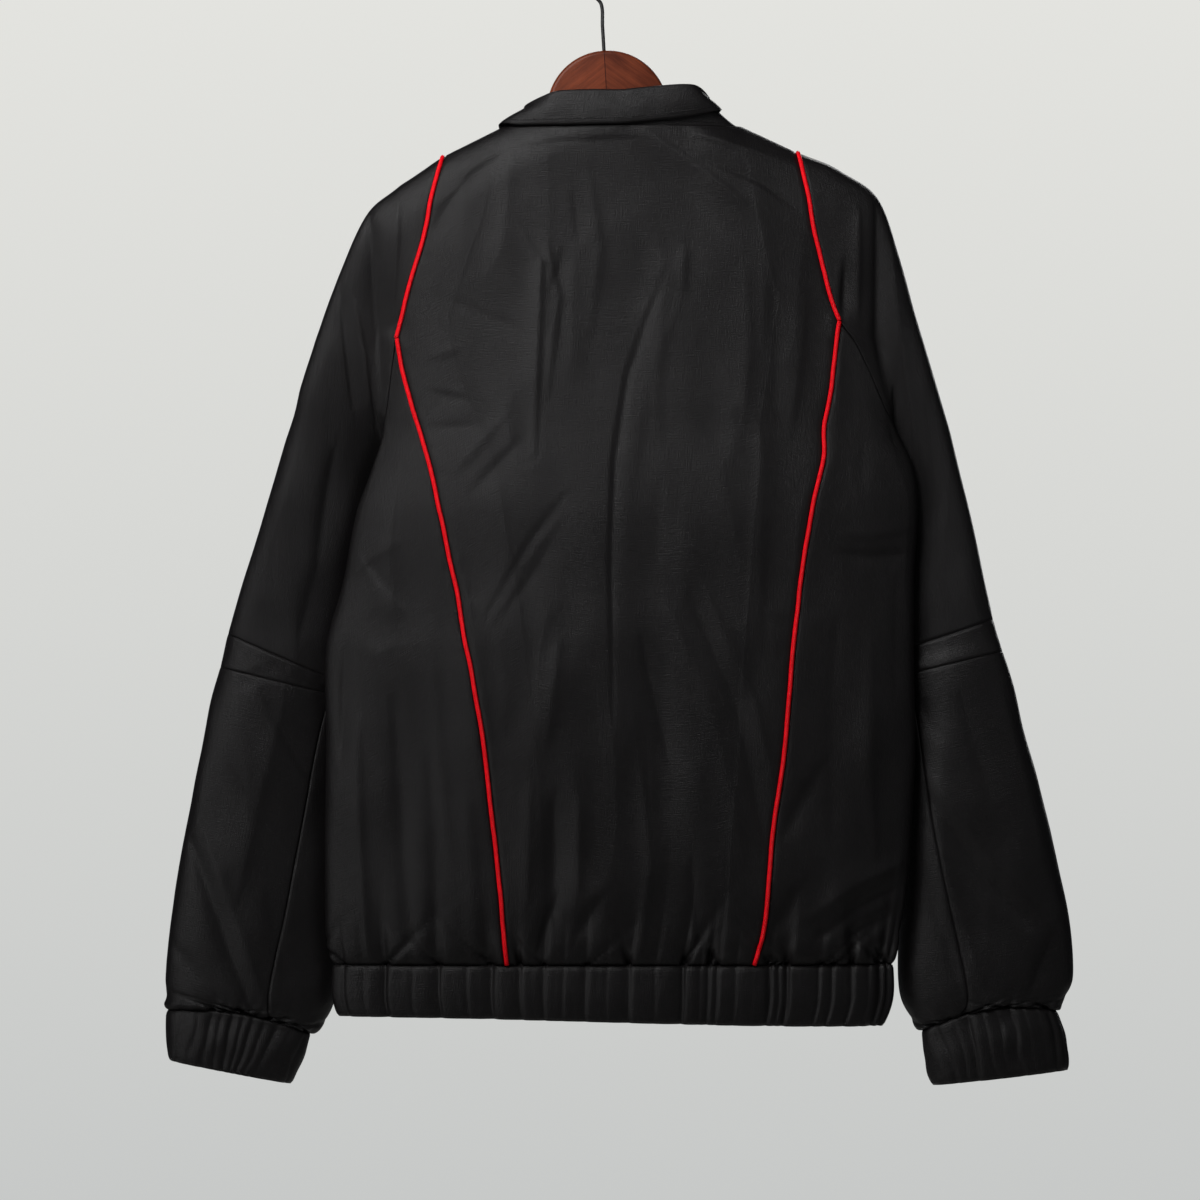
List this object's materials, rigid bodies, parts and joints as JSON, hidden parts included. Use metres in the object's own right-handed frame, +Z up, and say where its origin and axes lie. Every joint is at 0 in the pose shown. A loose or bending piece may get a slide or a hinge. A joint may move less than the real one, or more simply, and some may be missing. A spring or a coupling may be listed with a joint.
{
  "type": "windbreaker on a hanger",
  "caption": "Light zipped jacket with a turned-down collar, red piping, gathered hem and cuffs, hung on a flat wooden hanger with a wire hook.",
  "frame": {"origin": "inner crown of the hanger's hook, where it rests on a rail", "axes": "+Z up, +X to the wearer's right, the garment's back faces -Y"},
  "size_m": [0.7501, 0.0882, 0.941],
  "materials": {
    "black_cloth": "satin",
    "red_piping": "satin",
    "black_zip": "satin",
    "brown_wood": "varnished",
    "black_wire": "satin"
  },
  "bodies": {
    "jacket": {"back_centre": "black_cloth", "back_side_l": "black_cloth", "back_side_r": "black_cloth", "collar": "black_cloth", "cuff_l": "black_cloth", "cuff_r": "black_cloth", "elbow_band_l": "black_cloth", "elbow_band_r": "black_cloth", "forearm_outer_l": "black_cloth", "forearm_outer_r": "black_cloth", "forearm_under_l": "black_cloth", "forearm_under_r": "black_cloth", "front_l": "black_cloth", "front_r": "black_cloth", "hanger_hook": "black_wire", "hanger_wood": "brown_wood", "hem_band": "black_cloth", "piping_armhole_l": "red_piping", "piping_armhole_r": "red_piping", "piping_back_l": "red_piping", "piping_back_r": "red_piping", "sleeve_upper_l": "black_cloth", "sleeve_upper_r": "black_cloth", "zip_slider": "black_zip", "zip_tape_l": "black_zip", "zip_tape_r": "black_zip"},
    "pull_tab": {"zip_pull_tab": "black_zip"}
  },
  "joints": [
    {"name": "pull_tab_hinge", "type": "hinge", "parent": "jacket", "child": "pull_tab", "pos_m": [0.018, 0.03135, -0.2136], "axis": [1, 0, 0], "range_deg": [0, 150]}
  ]
}
